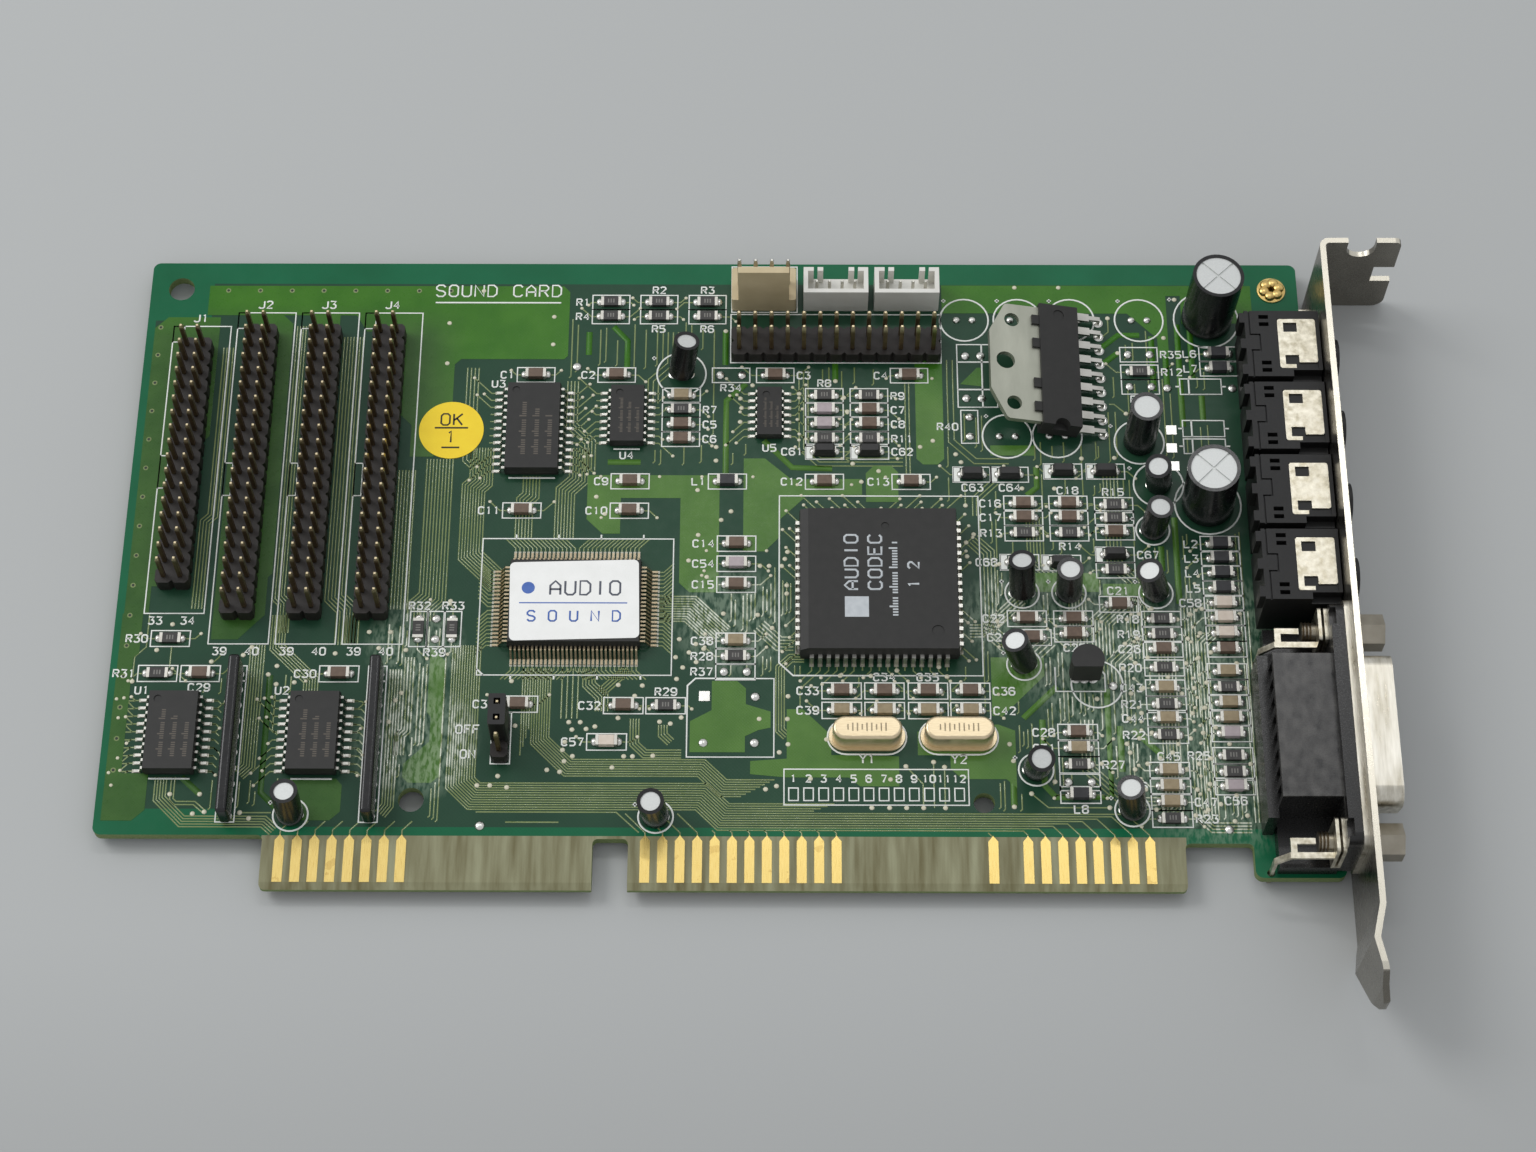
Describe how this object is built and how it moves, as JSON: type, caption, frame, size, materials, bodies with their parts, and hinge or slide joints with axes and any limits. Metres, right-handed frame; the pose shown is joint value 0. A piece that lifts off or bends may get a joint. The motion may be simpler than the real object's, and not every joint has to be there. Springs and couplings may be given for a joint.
{
  "type": "expansion sound card",
  "caption": "Long ISA-style expansion card with a slotted steel bracket, audio jacks, a 15-way port, tall pin headers, chips and capacitors on a green board.",
  "frame": {"origin": "centre of the bounding box's bottom face, card lying flat with its components up", "axes": "+X along the board towards the bracket, +Y from the contact tab to the opposite long edge, +Z out of the component side"},
  "size_m": [0.1968, 0.1268, 0.0184],
  "materials": {
    "board_laminate": "green solder mask over glass fibre",
    "contact_gold": "gold plate",
    "bracket_nickel": "nickel-plated sheet steel",
    "rivet_brass": "plain brass",
    "shell_nickel": "nickel plate",
    "screw_nickel": "nickel plate",
    "tinned_plate": "tin plate",
    "tinned_lead": "tinned",
    "terminal_tin": "solder-coated",
    "pin_bronze": "bronze with bright tips",
    "black_plastic": "moulded",
    "header_plastic": "moulded",
    "cream_plastic": "moulded nylon",
    "white_plastic": "moulded nylon",
    "chip_epoxy": "moulded epoxy",
    "network_coat": "dipped coating",
    "label_paper": "gloss paper label",
    "sticker_film": "yellow paper sticker",
    "fin_metal": "matt tinned",
    "crystal_steel": "drawn can",
    "sleeve_film": "shrink sleeve",
    "can_aluminium": "bright",
    "resistor_glaze": "glazed",
    "ceramic_body": "fired",
    "ferrite_body": "fired",
    "tantalum_epoxy": "moulded epoxy"
  },
  "bodies": {
    "root": {"amplifier_body": "chip_epoxy", "amplifier_fin": "fin_metal", "amplifier_leads": "tinned_lead", "audio_connector_cream": "cream_plastic", "audio_connector_pins": "tinned_lead", "audio_connector_white_1": "white_plastic", "audio_connector_white_2": "white_plastic", "bracket_rivet": "rivet_brass", "buffer_chip_bodies": "chip_epoxy", "capacitor_cans": "can_aluminium", "capacitor_sleeves": "sleeve_film", "chip_capacitors": "ceramic_body", "chip_resistors": "resistor_glaze", "chip_terminals": "terminal_tin", "circuit_board": "board_laminate", "codec_body": "chip_epoxy", "codec_leads": "tinned_lead", "controller_body": "chip_epoxy", "controller_label": "label_paper", "controller_leads": "tinned_lead", "converter_chip_body": "chip_epoxy", "crystal_cans": "crystal_steel", "edge_contacts": "contact_gold", "ferrite_beads": "ferrite_body", "game_port_board_locks": "tinned_plate", "game_port_contacts": "tinned_lead", "game_port_housing": "black_plastic", "game_port_insulator": "black_plastic", "game_port_jack_screws": "screw_nickel", "game_port_shell": "shell_nickel", "inspection_sticker": "sticker_film", "interface_header_body_1": "header_plastic", "interface_header_body_2": "header_plastic", "interface_header_body_3": "header_plastic", "interface_header_body_4": "header_plastic", "interface_header_pins_1": "pin_bronze", "interface_header_pins_2": "pin_bronze", "interface_header_pins_3": "pin_bronze", "interface_header_pins_4": "pin_bronze", "jack_body_1": "black_plastic", "jack_body_2": "black_plastic", "jack_body_3": "black_plastic", "jack_body_4": "black_plastic", "jack_plates": "tinned_plate", "jack_terminals": "tinned_lead", "jumper_header_body": "header_plastic", "jumper_shunt": "black_plastic", "mounting_bracket": "bracket_nickel", "op_amp_body": "chip_epoxy", "post_pins": "pin_bronze", "resistor_network_bodies": "network_coat", "resistor_network_leads": "tinned_lead", "small_outline_leads": "tinned_lead", "synth_chip_body": "chip_epoxy", "tantalum_capacitors": "tantalum_epoxy", "transistor_body": "chip_epoxy", "transistor_leads": "tinned_lead", "wave_header_body": "header_plastic", "wire_leads": "tinned_lead"}
  },
  "joints": []
}
